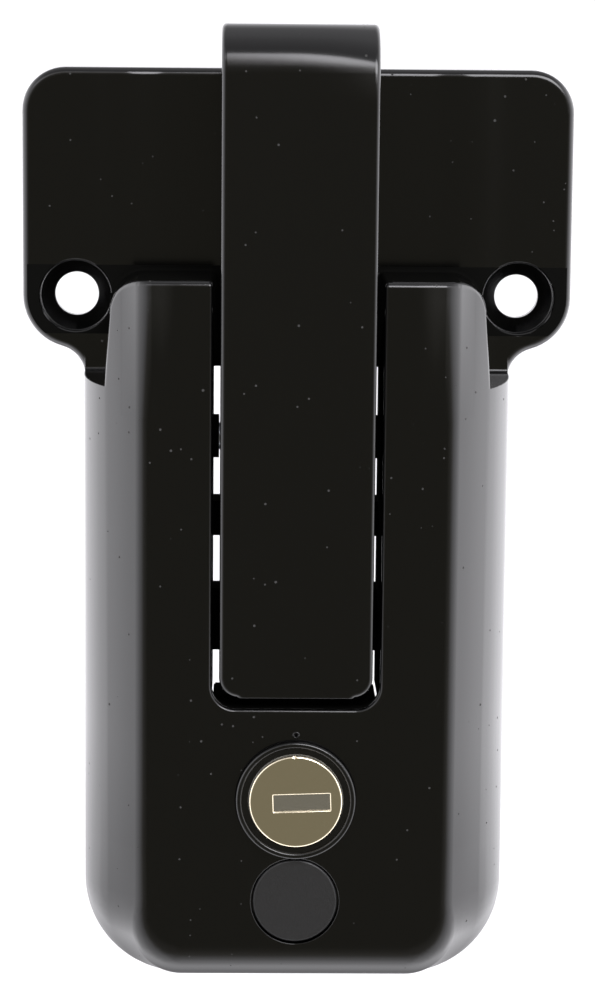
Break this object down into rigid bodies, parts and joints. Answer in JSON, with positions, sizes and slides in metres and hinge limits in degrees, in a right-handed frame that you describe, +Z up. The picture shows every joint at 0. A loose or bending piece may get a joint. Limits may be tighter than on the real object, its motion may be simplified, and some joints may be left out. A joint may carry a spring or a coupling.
{
  "type": "cam bar door latch",
  "caption": "Keeper latch for a trailer door's cam bar handle: screwed-on housing, spring lever with a rolled hook, key lock that blocks the lever.",
  "frame": {"origin": "on the door plane, midway between the two upper screw holes", "axes": "+Z up along the lever, +Y into the door, +X to the right seen from in front"},
  "size_m": [0.1016, 0.0317, 0.1784],
  "materials": {
    "black_powder_coat": "gloss black powder coat on a zinc die casting",
    "zinc_plated_steel": "bright zinc plate",
    "spring_steel": "drawn wire, lightly oiled",
    "cast_zinc": "bare die cast zinc",
    "chrome_plate": "polished chrome plate, lightly handled",
    "stainless_door": "satin stainless sheet",
    "brass_wafer": "punched brass",
    "black_nylon": "moulded black nylon, low gloss",
    "black_polythene": "moulded black polythene, matt",
    "nitrile_rubber": "matt black"
  },
  "bodies": {
    "base": {"housing": "black_powder_coat", "pivot_pin": "zinc_plated_steel", "pin_clips": "spring_steel", "lever_spring": "spring_steel", "lock_gasket": "nitrile_rubber", "lock_bezel": "black_nylon", "lock_barrel": "cast_zinc", "lock_clip": "spring_steel", "hole_plug": "black_polythene"},
    "lever": {"hook_lever": "black_powder_coat"},
    "core": {"lock_core": "cast_zinc", "tumbler_wafers": "brass_wafer", "wafer_springs": "spring_steel", "face_cap": "chrome_plate", "shutter_pin": "zinc_plated_steel", "stop_washer": "zinc_plated_steel", "lock_cam": "zinc_plated_steel", "cam_washer": "spring_steel", "cam_screw": "zinc_plated_steel"},
    "dust_door": {"key_shutter": "stainless_door"}
  },
  "joints": [
    {"name": "lever_hinge", "type": "hinge", "parent": "base", "child": "lever", "pos_m": [0, -0.014, -0.025], "axis": [1, 0, 0], "range_deg": [0, 17], "stiffness_Nm_per_rad": 1, "springref_deg": -17.19, "deforming": ["lever_spring"]},
    {"name": "key_turn", "type": "hinge", "parent": "base", "child": "core", "pos_m": [0.00015, -0.02, -0.0903], "axis": [0, 1, 0], "range_deg": [0, 45]},
    {"name": "shutter_hinge", "type": "hinge", "parent": "core", "child": "dust_door", "pos_m": [0.00009, -0.02898, -0.08853], "axis": [0.9994, 0, 0.0349], "range_deg": [0, 70], "stiffness_Nm_per_rad": 0.0005, "springref_deg": -17.19}
  ]
}
